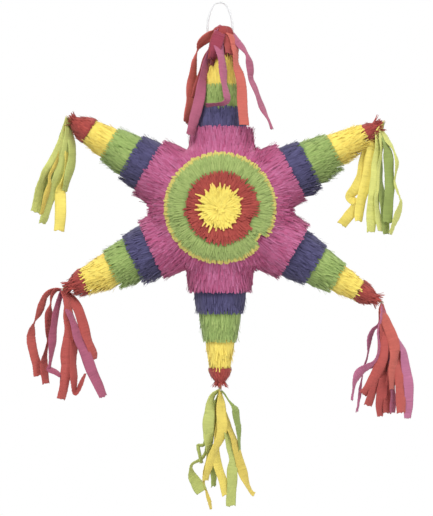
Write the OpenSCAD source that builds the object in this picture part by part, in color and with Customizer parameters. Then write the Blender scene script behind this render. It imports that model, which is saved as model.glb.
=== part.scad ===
// Six-pointed star pinata: a hollow card body with six card cones, covered in bands of
// tissue fringe, hung from a plastic loop, with a tassel of crepe streamers at each point.
// The hanging point is the origin, the front faces -Y and +Z is up. Millimetres.
// Arms are counted clockwise from the top: top, upper right, lower right, bottom,
// lower left, upper left.

/* [Star] */
// How far the star's centre hangs below the inside of the loop's crown
star_drop = 288; // [284:1:292]
// Direction of each arm, in degrees above the horizontal to the right
arm_angle = [90, 28, -30, 270, 207, 149]; // [0:1:360]
// Distance from the star's centre to each arm's point
arm_reach = [256, 260, 262, 253, 249, 250]; // [248:1:264]
// How far each arm is turned about its point, in degrees, away from the star's centre
arm_lean = [0, 0, 0, 0, 2.5, 0]; // [0:0.5:3]

/* [Core] */
// Radius of the hollow core, seen from the front
core_r = 92; // [90:1:94]
// Half of the core's depth
core_half_depth = 62; // [60:1:64]
// Radius of the core's flat front and back faces
face_r = 45; // [44:1:46]
// Thickness of the core's card
core_wall = 2; // [1.5:0.5:3]
// Radius of the fill hole in the back
fill_hole_r = 30.4; // [28:0.2:32]

/* [Cones] */
// Outer radius of the card cone where it would meet the star's centre
cone_centre_r = 62.1; // [61:0.1:63]
// How much the cone's radius shrinks for each millimetre along the arm
cone_slope = 0.23; // [0.22:0.01:0.24]
// Thickness of the cone's rolled card
cone_wall = 1.5; // [1:0.5:2]
// Distance from the centre where the cone turns into its solid rolled tip
tip_start = 225; // [222:1:228]

/* [Fringe] */
// Thickness of the coat of tissue fringe
fringe_t = 3.5; // [3:0.5:4]
// Where the purple, green, yellow and red bands begin on each arm
band_start = [[116, 145, 174, 214], [117, 144, 180, 225], [122, 158, 192, 228],
              [119, 148, 189, 226], [115, 145, 171, 217], [124, 148, 180, 215]]; // [110:1:230]
// Outer radii of the medallion's yellow, red and green rings
medallion_r = [30, 54, 80]; // [28:1:82]
// How far the medallion's yellow, red and green rings stand off the core
medallion_t = [8, 6.5, 5.5]; // [5:0.5:9]

/* [Loop] */
// Radius of the plastic loop's rod
loop_rod_r = 1.4; // [1.2:0.1:1.6]
// Height of the loop's crossbar, which runs through the top cone
crossbar_z = -50; // [-52:1:-48]

/* [Streamers] */
// Width of a crepe streamer
streamer_w = 14; // [12:1:16]
// Thickness of a crepe streamer, folded double
streamer_t = 0.8; // [0.6:0.1:1]
// Radius of the thread knot that ties a tassel to its cone
knot_r = 2.4; // [2.2:0.1:2.6]

/* [Hidden] */
$fn = 64;
fit_gap = 0.05;
knot_gap = 0.1;
seam_gap = 0.3;
edge_r = core_r - face_r;
edge_y = core_half_depth - edge_r;
tape_t = 0.6;
tape_w = 20;
flap_gap = 0.4;
flap_crease_z = 28;
flap_fringe_t = 4.5;
hole_reach = 10;
snip_x = 10.9;
snip_z = 2.2;
pink_centre_r = 67.2;
pink_slope = 0.22;
cone_root = 60;
pink_cut = 134;
tip_end_r = 1.2;
tip_neck_r = 2.8;
tip_neck = 9;
tip_end = 1;
tip_plug = 5;
red_end = 11;
red_end_r = 4.8;
bend_r = 6;
crown_r = 12;
side_r = 72;
crown_sweep = 65;
bar_hole = 40;
sleeve_t = 0.1;
sleeve_overlap = 0.5;
neck_length = 12;
tassel_neck = [0.6, 1.8];
draped_neck = [1.5];
top_streamer_w = 12;
head_r = 0.8;
head_x = 2.2;
head_z = -34;
head_near = 3.3;
head_far = 11;
front_head_w = 3;
front_head_y = -4.2;
front_head_z = -28.6;
front_reach = 11.6;
neck_cut = [20, 20, 12];
neck_cut_drop = 1.5;
big = 400;

purple = "#4f4a70";
green = "#8aa85c";
yellow = "#ecd56a";
red = "#a94a48";
pink = "#b8608c";
lime = "#b4bb6a";
card = "#b08d62";

// Routes of the streamers, each a list of [sideways, height] from its knot
upper_left_green = [[[0, 0], [-18, -54], [-32, -96], [-49, -130]],
                    [[0, 0], [-11, -55], [-25, -104], [-38, -146]],
                    [[0, 0], [2, -27], [0, -62], [-8, -104]]];
upper_left_yellow = [[[0, 0], [-6, -40], [-13, -97], [-17, -155]]];
upper_right_green = [[[0, 0], [-15, -77], [-18, -151]],
                     [[0, 0], [8, -49], [7, -136]],
                     [[0, 0], [18, -63], [24, -126]]];
upper_right_yellow = [[[0, 0], [-4, -20], [-24, -58], [-44, -104], [-62, -144]],
                      [[0, 0], [-3, -20], [-16, -44], [-32, -88], [-39, -126]]];
lower_left_red = [[[0, 0], [-31, -35], [-45, -77], [-34, -120]],
                  [[0, 0], [-17, -42], [-25, -84], [-25, -132]],
                  [[0, 0], [6, -70], [4, -154]],
                  [[0, 0], [22, -35], [46, -84]]];
lower_left_pink = [[[0, 0], [-8, -56], [-10, -115]],
                   [[0, 0], [22, -65], [39, -112], [59, -150]]];
lower_right_red = [[[0, 0], [-7, -56], [-21, -147]],
                   [[0, 0], [4, -63], [6, -150]],
                   [[0, 0], [17, -56], [25, -154]]];
lower_right_pink = [[[0, 0], [-20, -56], [-35, -98], [-38, -133]],
                    [[0, 0], [26, -56], [39, -133], [39, -158]]];
bottom_green = [[[0, 0], [-18, -41], [-34, -83], [-39, -143]],
                [[0, 0], [-11, -55], [-20, -111], [-22, -139]],
                [[0, 0], [11, -55], [20, -111], [17, -164]]];
bottom_yellow = [[[0, 0], [0, -55], [3, -139]],
                 [[0, 0], [22, -41], [39, -90], [48, -148]]];
// Routes of the top streamers, each from its head on the top cone's tip
top_left_red = [[-2, -34], [-20, -42], [-34, -56], [-48, -96], [-52, -166]];
top_left_pink = [[-2, -34], [-14, -62], [-26, -110], [-46, -184]];
top_left_back = [[-2, -34], [-16, -70], [-24, -120], [-30, -170]];
top_front_pink = [[0, -28.4], [2, -80], [8, -142]];
top_right_red = [[2, -34], [14, -60], [22, -94], [29, -170]];
top_right_pink = [[2, -34], [20, -46], [42, -88], [52, -130], [68, -176]];
top_right_back = [[2, -34], [16, -70], [26, -120], [34, -170]];

// Outer radius of the card cone and of the pink coat at a distance d along an arm
function cone_r(d) = cone_centre_r - cone_slope * d;
function pink_r(d) = pink_centre_r - pink_slope * d;
// Angle between an arm and the next one clockwise
function gap_after(i) = (arm_angle[i] - arm_angle[(i + 1) % 6] + 720) % 360;
function gap_before(i) = gap_after((i + 5) % 6);
function knot_x(i) = arm_reach[i] * cos(arm_angle[i]);
function knot_z(i) = arm_reach[i] * sin(arm_angle[i]) - star_drop;

// Children are drawn along +Z, and turned to point from the star's centre to arm i's point
module toward_arm(i) {
    translate([0, 0, -star_drop]) rotate([0, 90 - arm_angle[i], 0]) children();
}

// The same for what lies along arm i itself, which may lean
module along_arm(i) {
    toward_arm(i) translate([0, 0, arm_reach[i]]) rotate([0, arm_lean[i], 0])
        translate([0, 0, -arm_reach[i]]) children();
}

// A round disc or ring about the star's front-to-back axis, from depth y0 to y1
module disc(r, y0, y1) {
    translate([0, y1, -star_drop]) rotate([90, 0, 0]) cylinder(h = y1 - y0, r = r);
}

// The core grown by t: flat faces, rounded edges and a straight rim
module core_solid(t) {
    rim = core_r + t;
    translate([0, 0, -star_drop]) rotate([90, 0, 0]) rotate_extrude($fn = 96) intersection() {
        translate([0, -big]) square([big, 2 * big]);
        union() {
            square([2 * face_r, 2 * (core_half_depth + t)], center = true);
            square([2 * rim, 2 * edge_y], center = true);
            for (side = [-1, 1]) translate([face_r, side * edge_y]) circle(r = edge_r + t, $fn = 96);
        }
    }
}

module half_space(side) {
    translate([-big, side < 0 ? -big : 0, -star_drop - big]) cube([2 * big, big, 2 * big]);
}

// The wedge of space that belongs to arm i, about the +Z direction
module arm_wedge(i) {
    right = gap_after(i) / 2;
    left = gap_before(i) / 2;
    rotate([90, 0, 0]) linear_extrude(height = big, center = true) polygon([[0, seam_gap],
        [big * sin(right), big * cos(right) + seam_gap],
        [-big * sin(left), big * cos(left) + seam_gap]]);
}

// The outside of a card cone with its rolled tip
module cone_outline(i) {
    reach = arm_reach[i];
    translate([0, 0, cone_root])
        cylinder(h = tip_start - cone_root, r1 = cone_r(cone_root), r2 = cone_r(tip_start));
    translate([0, 0, tip_start])
        cylinder(h = reach - tip_neck - tip_start, r1 = cone_r(tip_start), r2 = tip_neck_r);
    translate([0, 0, reach - tip_neck])
        cylinder(h = tip_neck - tip_end, r1 = tip_neck_r, r2 = tip_end_r);
}

module cone_shell(i) {
    inside_end = tip_start - tip_plug;
    color(card) difference() {
        along_arm(i) difference() {
            cone_outline(i);
            translate([0, 0, cone_root - 1])
                cylinder(h = inside_end - cone_root + 1, r1 = cone_r(cone_root - 1) - cone_wall,
                         r2 = cone_r(inside_end) - cone_wall);
        }
        core_solid(0);
        disc(core_r + tape_t, -tape_w / 2, tape_w / 2);
    }
}

// A card cone whose tip holds the knot of a tassel
module tassel_cone(i) {
    color(card) difference() {
        cone_shell(i);
        along_arm(i) translate([0, 0, arm_reach[i]]) sphere(r = knot_r + knot_gap);
    }
}

// One band of fringe around arm i, from d0 to d1 along it
module fringe_band(i, d0, d1) {
    along_arm(i) translate([0, 0, d0]) difference() {
        cylinder(h = d1 - d0, r1 = cone_r(d0) + fringe_t, r2 = cone_r(d1) + fringe_t);
        translate([0, 0, -1])
            cylinder(h = d1 - d0 + 2, r1 = cone_r(d0 - 1), r2 = cone_r(d1 + 1));
    }
}

// The red band narrows to the tie at the cone's tip
module red_band(i) {
    d0 = band_start[i][3];
    d1 = arm_reach[i] - red_end;
    color(red) along_arm(i) difference() {
        translate([0, 0, d0]) cylinder(h = d1 - d0, r1 = cone_r(d0) + fringe_t, r2 = red_end_r);
        cone_outline(i);
    }
}

// The pink coat over one sixth of the core and the root of its arm
module pink_sector(i) {
    d1 = band_start[i][0];
    color(pink) difference() {
        intersection() {
            toward_arm(i) arm_wedge(i);
            union() {
                core_solid(fringe_t);
                along_arm(i) translate([0, 0, cone_root])
                    cylinder(h = d1 - cone_root, r1 = pink_r(cone_root), r2 = pink_r(d1));
            }
        }
        core_solid(0);
        disc(core_r + tape_t, -tape_w / 2, tape_w / 2);
        for (arm = [i, (i + 1) % 6, (i + 5) % 6]) along_arm(arm) translate([0, 0, cone_root])
            cylinder(h = pink_cut - cone_root, r1 = cone_r(cone_root), r2 = cone_r(pink_cut));
        disc(medallion_r[2], -big, big);
    }
}

// One ring of a medallion, from radius r0 to r1 and t thick, on the front or the back
module medallion_ring(side, r0, r1, t) {
    intersection() {
        difference() {
            core_solid(t);
            core_solid(0);
            if (r0 > 0) disc(r0, -big, big);
        }
        disc(r1, -big, big);
        half_space(side);
    }
}

// The fill flap's outline: a round hole with a straight crease across its top
module flap_prism(gap, y0, y1) {
    intersection() {
        disc(fill_hole_r - flap_gap + gap, y0, y1);
        translate([-big, y0 - 1, -star_drop - big])
            cube([2 * big, y1 - y0 + 2, big + flap_crease_z + gap]);
    }
}

// A length of the loop's rod, rod_r thick, along an arc in the XZ plane
module rod_arc(x, z, r, a0, a1, rod_r) {
    translate([x, 0, z]) rotate([90, 0, 0]) rotate([0, 0, a0])
        rotate_extrude(angle = a1 - a0, $fn = 96) translate([r, 0]) circle(r = rod_r, $fn = 32);
}

// The left and right edges of a ribbon that follows a route
function unit(v) = v / norm(v);
function heading(route, k) = unit(route[min(k + 1, len(route) - 1)] - route[max(k - 1, 0)]);
function edge(route, w, neck, side) = [for (k = [0 : len(route) - 1])
    let (h = heading(route, k), half = k < len(neck) ? neck[k] : w / 2)
    route[k] + side * half * [-h[1], h[0]]];
function with_neck(route) = concat([route[0], route[0] + neck_length * unit(route[1] - route[0])],
    [for (k = [1 : len(route) - 1]) route[k]]);
function backwards(v) = [for (k = [len(v) - 1 : -1 : 0]) v[k]];

// One flat ribbon in the XZ plane, whose front face is at depth y. It is w wide, apart from
// its first points, whose half widths are in neck
module ribbon(route, y, w, neck) {
    translate([0, y + streamer_t, 0]) rotate([90, 0, 0]) linear_extrude(height = streamer_t)
        polygon(concat(edge(route, w, neck, 1), backwards(edge(route, w, neck, -1))));
}

// A tassel's ribbons, laid one behind the other and gathered under the knot
module tassel_layers(routes, first) {
    for (k = [0 : len(routes) - 1])
        ribbon(with_neck(routes[k]), first + 2 * k - streamer_t / 2, streamer_w, tassel_neck);
}

module tassel(i, colour_a, routes_a, colour_b, routes_b) {
    difference() {
        translate([knot_x(i), 0, knot_z(i)]) {
            color(colour_a) tassel_layers(routes_a, 1 - len(routes_a));
            color(colour_b) tassel_layers(routes_b, 2 - len(routes_a));
        }
        translate([knot_x(i), 0, knot_z(i)]) sphere(r = knot_r + knot_gap);
        translate([knot_x(i) - neck_cut[0] / 2, -neck_cut[1] / 2, knot_z(i) - neck_cut_drop])
            cube(neck_cut);
    }
}

module knot(i) {
    color("white") translate([knot_x(i), 0, knot_z(i)]) sphere(r = knot_r);
}

// A ribbon that leaves the cone's tip by a rolled head at depth y and then leans forward
module draped_ribbon(route, y, lean) {
    head = route[0];
    translate([head[0], y, head[1]]) rotate([-lean, 0, 0]) translate([-head[0], 0, -head[1]])
        ribbon(route, 0, top_streamer_w, draped_neck);
}

// The rolled head of a ribbon on the left or right of the top cone's tip
module rolled_head(side, y0, y1) {
    translate([side * head_x, y1, head_z]) rotate([90, 0, 0]) cylinder(h = y1 - y0, r = head_r);
}

// The crown, legs and crossbar end inside slightly thicker sides and bends
module hanging_loop() {
    crown_z = loop_rod_r - crown_r;
    reach_in = side_r - crown_r;
    side_x = reach_in * sin(crown_sweep);
    leg_x = side_r - side_x;
    shoulder_z = crown_z - reach_in * cos(crown_sweep);
    bend_z = crossbar_z + bend_r;
    thick = loop_rod_r + sleeve_t;
    into_crown = sleeve_overlap / side_r * 180 / PI;
    color("whitesmoke") {
        rod_arc(0, crown_z, crown_r, 90 - crown_sweep, 90 + crown_sweep, loop_rod_r);
        rod_arc(-side_x, shoulder_z, side_r, 0, 90 - crown_sweep + into_crown, thick);
        rod_arc(side_x, shoulder_z, side_r, 90 + crown_sweep - into_crown, 180, thick);
        for (side = [-1, 1]) translate([side * leg_x, 0, bend_z - sleeve_overlap])
            cylinder(h = shoulder_z - bend_z + 2 * sleeve_overlap, r = loop_rod_r, $fn = 32);
        rod_arc(leg_x - bend_r, bend_z, bend_r, 270, 360, thick);
        rod_arc(bend_r - leg_x, bend_z, bend_r, 180, 270, thick);
        translate([bend_r - leg_x - sleeve_overlap, 0, crossbar_z]) rotate([0, 90, 0])
            cylinder(h = 2 * (leg_x - bend_r + sleeve_overlap), r = loop_rod_r, $fn = 32);
    }
}

module core_front_shell() {
    color(card) intersection() {
        difference() {
            core_solid(0);
            core_solid(-core_wall);
        }
        half_space(-1);
    }
}

module core_back_shell() {
    color(card) difference() {
        intersection() {
            difference() {
                core_solid(0);
                core_solid(-core_wall);
            }
            half_space(1);
        }
        flap_prism(flap_gap, core_half_depth - hole_reach, core_half_depth + hole_reach);
    }
}

module core_seam_tape() {
    color("tan") difference() {
        disc(core_r + tape_t, -tape_w / 2, tape_w / 2);
        disc(core_r, -tape_w, tape_w);
    }
}

module fill_flap() {
    color(card) flap_prism(0, core_half_depth - core_wall, core_half_depth);
}

module cone_top() {
    color(card) difference() {
        cone_shell(0);
        translate([-bar_hole / 2, 0, crossbar_z]) rotate([0, 90, 0])
            cylinder(h = bar_hole, r = loop_rod_r + fit_gap);
    }
}
module cone_upper_right() tassel_cone(1);
module cone_lower_right() tassel_cone(2);
module cone_bottom() tassel_cone(3);
module cone_lower_left() tassel_cone(4);
module cone_upper_left() tassel_cone(5);

module fringe_pink_top() pink_sector(0);
module fringe_pink_upper_right() pink_sector(1);
module fringe_pink_lower_right() pink_sector(2);
module fringe_pink_bottom() pink_sector(3);
module fringe_pink_lower_left() pink_sector(4);
module fringe_pink_upper_left() pink_sector(5);

module purple_band(i) color(purple) fringe_band(i, band_start[i][0], band_start[i][1]);
module fringe_purple_top() purple_band(0);
module fringe_purple_upper_right() purple_band(1);
module fringe_purple_lower_right() purple_band(2);
module fringe_purple_bottom() purple_band(3);
module fringe_purple_lower_left() purple_band(4);
module fringe_purple_upper_left() purple_band(5);

module green_band(i) color(green) fringe_band(i, band_start[i][1], band_start[i][2]);
module fringe_green_top() green_band(0);
module fringe_green_upper_right() green_band(1);
module fringe_green_lower_right() green_band(2);
module fringe_green_bottom() green_band(3);
module fringe_green_lower_left() green_band(4);
module fringe_green_upper_left() green_band(5);

module yellow_band(i) color(yellow) fringe_band(i, band_start[i][2], band_start[i][3]);
module fringe_yellow_top() yellow_band(0);
module fringe_yellow_upper_right() yellow_band(1);
module fringe_yellow_lower_right() yellow_band(2);
module fringe_yellow_bottom() yellow_band(3);
module fringe_yellow_lower_left() yellow_band(4);
module fringe_yellow_upper_left() yellow_band(5);

module fringe_red_top() {
    difference() {
        red_band(0);
        translate([-bar_hole / 2, 0, crossbar_z]) rotate([0, 90, 0])
            cylinder(h = bar_hole, r = loop_rod_r + seam_gap);
    }
}
module fringe_red_upper_right() red_band(1);
module fringe_red_lower_right() red_band(2);
module fringe_red_bottom() red_band(3);
module fringe_red_lower_left() red_band(4);
module fringe_red_upper_left() red_band(5);

module medallion_front_yellow() color(yellow) medallion_ring(-1, 0, medallion_r[0], medallion_t[0]);
module medallion_front_red() color(red)
    medallion_ring(-1, medallion_r[0], medallion_r[1], medallion_t[1]);
module medallion_front_green() color(green)
    medallion_ring(-1, medallion_r[1], medallion_r[2], medallion_t[2]);
module medallion_back_yellow() color(yellow) difference() {
    flap_prism(0, core_half_depth, core_half_depth + flap_fringe_t);
    // The corners beside the crease are snipped, so that the flap turns past the red fringe
    for (side = [-1, 1])
        translate([side * (snip_x + big / 2), core_half_depth, flap_crease_z - star_drop])
            cube([big, 4 * flap_fringe_t, 2 * snip_z], center = true);
}
module medallion_back_red() {
    color(red) difference() {
        medallion_ring(1, 0, medallion_r[1], medallion_t[1]);
        flap_prism(flap_gap, core_half_depth - hole_reach, core_half_depth + 2 * hole_reach);
    }
}
module medallion_back_green() color(green)
    medallion_ring(1, medallion_r[1], medallion_r[2], medallion_t[2]);

module knot_upper_right() knot(1);
module knot_lower_right() knot(2);
module knot_bottom() knot(3);
module knot_lower_left() knot(4);
module knot_upper_left() knot(5);

module streamers_upper_right() tassel(1, lime, upper_right_green, yellow, upper_right_yellow);
module streamers_lower_right() tassel(2, red, lower_right_red, pink, lower_right_pink);
module streamers_bottom() tassel(3, lime, bottom_green, yellow, bottom_yellow);
module streamers_lower_left() tassel(4, red, lower_left_red, pink, lower_left_pink);
module streamers_upper_left() tassel(5, lime, upper_left_green, yellow, upper_left_yellow);

module streamers_top_left() {
    color(red) rolled_head(-1, -head_far, -head_near);
    color(red) draped_ribbon(top_left_red, -head_far, 0);
    color(pink) draped_ribbon(top_left_pink, -head_far - 1.4, 9);
    color(pink) rolled_head(-1, head_near, head_far);
    color(pink) draped_ribbon(top_left_back, head_far, -14);
}
module streamers_top_front() {
    color(pink) translate([-front_head_w / 2, front_head_y, front_head_z]) rotate([0, 90, 0])
        cylinder(h = front_head_w, r = head_r);
    color(pink) translate([-front_head_w / 2, front_head_y - front_reach, front_head_z - streamer_t / 2])
        cube([front_head_w, front_reach, streamer_t]);
    color(pink) draped_ribbon(top_front_pink, front_head_y - front_reach + streamer_t / 2, 15.5);
}
module streamers_top_right() {
    color(red) rolled_head(1, -head_far, -head_near);
    color(pink) draped_ribbon(top_right_pink, -head_far, 2);
    color(red) draped_ribbon(top_right_red, -head_far - 2.8, 12);
    color(red) rolled_head(1, head_near, head_far);
    color(red) draped_ribbon(top_right_back, head_far, -14);
}

hanging_loop();
core_front_shell();
core_back_shell();
core_seam_tape();
fill_flap();
cone_top();
cone_upper_right();
cone_lower_right();
cone_bottom();
cone_lower_left();
cone_upper_left();
fringe_pink_top();
fringe_pink_upper_right();
fringe_pink_lower_right();
fringe_pink_bottom();
fringe_pink_lower_left();
fringe_pink_upper_left();
fringe_purple_top();
fringe_purple_upper_right();
fringe_purple_lower_right();
fringe_purple_bottom();
fringe_purple_lower_left();
fringe_purple_upper_left();
fringe_green_top();
fringe_green_upper_right();
fringe_green_lower_right();
fringe_green_bottom();
fringe_green_lower_left();
fringe_green_upper_left();
fringe_yellow_top();
fringe_yellow_upper_right();
fringe_yellow_lower_right();
fringe_yellow_bottom();
fringe_yellow_lower_left();
fringe_yellow_upper_left();
fringe_red_top();
fringe_red_upper_right();
fringe_red_lower_right();
fringe_red_bottom();
fringe_red_lower_left();
fringe_red_upper_left();
medallion_front_yellow();
medallion_front_red();
medallion_front_green();
medallion_back_yellow();
medallion_back_red();
medallion_back_green();
knot_upper_right();
knot_lower_right();
knot_bottom();
knot_lower_left();
knot_upper_left();
streamers_upper_right();
streamers_lower_right();
streamers_bottom();
streamers_lower_left();
streamers_upper_left();
streamers_top_left();
streamers_top_front();
streamers_top_right();
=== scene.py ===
import math
from dataclasses import dataclass

import bpy
import numpy as np
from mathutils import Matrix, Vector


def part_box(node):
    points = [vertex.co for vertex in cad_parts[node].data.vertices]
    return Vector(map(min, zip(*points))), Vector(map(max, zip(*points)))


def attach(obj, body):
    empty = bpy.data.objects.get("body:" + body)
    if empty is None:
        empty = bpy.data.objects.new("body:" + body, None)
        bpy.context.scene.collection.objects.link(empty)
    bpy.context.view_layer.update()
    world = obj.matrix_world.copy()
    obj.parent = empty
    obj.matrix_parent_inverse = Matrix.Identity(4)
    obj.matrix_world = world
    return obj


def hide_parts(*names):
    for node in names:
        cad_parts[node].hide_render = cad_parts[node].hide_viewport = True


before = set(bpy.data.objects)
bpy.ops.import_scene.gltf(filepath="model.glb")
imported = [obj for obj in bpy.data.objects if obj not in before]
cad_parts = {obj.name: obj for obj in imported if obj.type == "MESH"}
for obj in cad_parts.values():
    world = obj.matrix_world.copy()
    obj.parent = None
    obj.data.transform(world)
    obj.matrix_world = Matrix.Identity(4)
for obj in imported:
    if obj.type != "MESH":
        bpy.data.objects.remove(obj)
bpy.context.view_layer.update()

# The star has a hollow card core and six card cones, all under shingled bands of tissue fringe.
# Metres, the front faces -Y and +Z is up, as in the frame. An arm's own coordinates are the
# distance d along it from the star's centre, the radius r about it and the turn phi about it,
# which is zero towards the viewer.

ARMS = ("top", "upper_right", "lower_right", "bottom", "lower_left", "upper_left")
TIED_ARMS = ARMS[1:]
BANDS = ("purple", "green", "yellow", "red")
MM = 0.001
FRONT = np.array([0.0, -1.0, 0.0])
SPINE = 6  # points along each finger of fringe
ALONG = np.linspace(0, 1, SPINE)  # how far along it each of them is
RIDGE = 0.14 * MM  # how far a finger's middle stands above its edges
ROLL = 0.12  # how much fingers lean to one side, in radians
SAME = 0.005 * MM  # points this near to a plane are on it
END = 0.3 * MM  # points this near to a band's end belong to its rim
rng = np.random.default_rng(11)


# ---- measuring the frame

def node_points(name):
    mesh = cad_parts[name].data
    flat = np.empty(len(mesh.vertices) * 3)
    mesh.vertices.foreach_get("co", flat)
    return flat.reshape(-1, 3)


def middle(name):
    """The centre of a node's box."""
    low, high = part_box(name)
    return np.array((low + high) / 2)


def mm(*values):
    """Lengths in metres, from mm."""
    return tuple(value * MM for value in values)


def add_object(name, data):
    obj = bpy.data.objects.new(name, data)
    bpy.context.scene.collection.objects.link(obj)
    return obj


def unit(v):
    return v / np.maximum(np.linalg.norm(v, axis=-1, keepdims=True), 1e-12)


def dot(a, b):
    return np.sum(a * b, axis=-1, keepdims=True)


def from_axis(points, origin, axis):
    """Distance along an axis, and from it."""
    rel = points - origin
    d = rel @ axis
    return d, np.linalg.norm(rel - d[:, None] * axis, axis=1)


@dataclass
class Core:
    """The core is a flat disc, radius face_r and half thickness edge_y, grown by edge_r."""
    centre: np.ndarray
    face_r: float
    edge_r: float
    edge_y: float


def measure_core():
    centre = middle("core_seam_tape")
    points = node_points("core_front_shell")
    half_depth = -points[:, 1].min()
    _, rho = from_axis(points, centre, FRONT)
    face_r = rho[points[:, 1] < -half_depth + SAME].max()
    edge_r = rho.max() - face_r
    return Core(centre, face_r, edge_r, half_depth - edge_r)


core = measure_core()


@dataclass
class Band:
    """Where a band of fringe runs along its arm, the card's radius and the coat's at each end."""
    start: float
    end: float
    card: tuple
    coat: tuple

    def card_at(self, d):
        slope = (self.card[1] - self.card[0]) / (self.end - self.start)
        return self.card[0] + slope * (d - self.start)


@dataclass
class Arm:
    """An arm's axis starts at origin, the point on it that is nearest the star's centre."""
    name: str
    origin: np.ndarray
    axis: np.ndarray
    side: np.ndarray
    reach: float
    bands: dict
    pink_end: float
    pink_centre_r: float

    def out(self, phi):
        phi = np.asarray(phi)[..., None]
        return np.cos(phi) * FRONT + np.sin(phi) * self.side

    def point(self, d, r, phi):
        d, r = np.asarray(d)[..., None], np.asarray(r)[..., None]
        return self.origin + d * self.axis + r * self.out(phi)

    def away(self, points):
        """The way straight out from the arm's axis."""
        rel = points - self.origin
        return unit(rel - dot(rel, self.axis) * self.axis)


PINK_SLOPE = 0.22  # how much the pink coat's radius shrinks along an arm
LAPS = {  # how far inside its solid's outer edge each colour ends, from pink to yellow
    "top": mm(2, 3, 1, 0),
    "upper_right": mm(4.8, 4.5, 1.5, -3),
    "lower_right": mm(2, 3, 1, 0),
    "bottom": mm(1.8, 2.2, 3.5, 0),
    "lower_left": mm(2.7, 4.5, -2.2, 0),
    "upper_left": mm(7.8, 4, 1, 0),
}


def measure_band(name, origin, axis, start_lap, end_lap):
    d, r = from_axis(node_points(name), origin, axis)
    ends = (d.min(), d.max())
    first, last = d < ends[0] + END, d > ends[1] - END
    card, coat = (r[first].min(), r[last].min()), (r[first].max(), r[last].max())
    slope = (card[1] - card[0]) / (ends[1] - ends[0])
    laps = (start_lap, end_lap)
    return Band(ends[0] - start_lap, ends[1] - end_lap,
                tuple(c - slope * lap for c, lap in zip(card, laps)),
                tuple(c - slope * lap for c, lap in zip(coat, laps)))


def measure_arm(name):
    points = node_points("cone_" + name)
    distance = np.linalg.norm(points - core.centre, axis=1)
    tip = points[distance > distance.max() - 2 * MM].mean(axis=0)
    ring = np.unique(node_points("fringe_purple_" + name).round(6), axis=0).mean(axis=0)
    axis = unit((tip - ring) * [1, 0, 1])
    origin = ring + ((core.centre - ring) @ axis) * axis
    origin[1] = core.centre[1]
    side = np.cross(axis, FRONT)
    laps = LAPS[name] + (0,)
    bands = {b: measure_band(f"fringe_{b}_{name}", origin, axis, *laps[n:n + 2])
             for n, b in enumerate(BANDS)}
    d, r = from_axis(node_points("fringe_pink_" + name), origin, axis)
    end = d.max()
    end_r = r[d > end - END].max()
    return Arm(name, origin, axis, side, ((points - origin) @ axis).max(), bands, end - laps[0],
               end_r + PINK_SLOPE * end)


arms = {name: measure_arm(name) for name in ARMS}


# ---- the star's outside

def core_distance(p):
    """Distance of each point from the core's outside, and the way out of it."""
    rel = p - core.centre
    flat = rel * [1, 0, 1]
    rho = np.linalg.norm(flat, axis=1)
    over = np.maximum(rho - core.face_r, 0)
    deep = np.maximum(np.abs(rel[:, 1]) - core.edge_y, 0)
    length = np.maximum(np.hypot(over, deep), 1e-9)
    out = unit(flat) * (over / length)[:, None]
    out[:, 1] = np.sign(rel[:, 1]) * deep / length
    return length - core.edge_r, out


CONE_ROOT = 60 * MM  # the pink coats on the cones start this far along their arms
# These arms' pink coats are fuller on one side, and slimmer all round
PINK_SHIFT = {"top": np.array(mm(2.5, 0, 0)), "lower_left": np.array(mm(0.5, 0, -1))}
PINK_SLIM = {"top": 1 * MM, "lower_left": 1 * MM}
PINK_COAT = 3.5 * MM  # over the core
BLEND = 9 * MM  # the core and a cone run into each other over this distance


def cone_distance(p, arm):
    """The same for the pink coat on one arm's cone."""
    rel = p - arm.origin - PINK_SHIFT.get(arm.name, 0)
    d = rel @ arm.axis
    away = rel - d[:, None] * arm.axis
    r = np.linalg.norm(away, axis=1)
    coat = arm.pink_centre_r - PINK_SLOPE * d - PINK_SLIM.get(arm.name, 0)
    over = np.maximum(r - coat, CONE_ROOT - d)
    return over, unit(unit(away) + PINK_SLOPE * arm.axis)


def pink_distance(arm):
    def distance(p):
        d1, n1 = core_distance(p)
        d1 = d1 - PINK_COAT
        d2, n2 = cone_distance(p, arm)
        share = np.clip(0.5 + 0.5 * (d2 - d1) / BLEND, 0, 1)
        smooth = d2 * (1 - share) + d1 * share - BLEND * share * (1 - share) * 0.35
        return smooth, unit(n2 * (1 - share)[:, None] + n1 * share[:, None])
    return distance


def come_down_on(distance, start, heading, steps=30):
    """Where rays from outside first meet a surface."""
    p = start.copy()
    for _ in range(steps):
        d, _ = distance(p)
        p = p + heading * d[:, None] * 0.9
    return p


def lay_over(distance, base, heading, length, lift):
    """Spines of fingers that follow a surface from base, at the heights in lift above it."""
    step = (length / (SPINE - 1))[:, None]
    d, n = distance(base)
    p = base + n * (lift[:, 0] - d)[:, None]
    spine, normal = [p], [n]
    for k in range(1, SPINE):
        along = unit(heading - dot(heading, n) * n)
        p = p + along * step
        d, n = distance(p)
        p = p + n * (lift[:, k] - d)[:, None]
        spine.append(p)
        normal.append(n)
    return np.stack(spine, 1), np.stack(normal, 1)


# ---- meshes of paper

def grid(rows, cols, start, end):
    """Values from start to end down the rows, and turns right round along the columns."""
    turns = np.linspace(0, 2 * math.pi, cols, endpoint=False)
    return np.broadcast_arrays(np.linspace(start, end, rows)[:, None], turns)


def wall(rows, cols, closed=False):
    """Quads between the rows of a tube, and from its last row to its first if it is closed."""
    j, c = np.meshgrid(np.arange(rows if closed else rows - 1), np.arange(cols), indexing="ij")
    j2, c2 = (j + 1) % rows, (c + 1) % cols
    quads = np.stack([j * cols + c, j * cols + c2, j2 * cols + c2, j2 * cols + c], -1)
    return quads.reshape(-1, 4)


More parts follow.
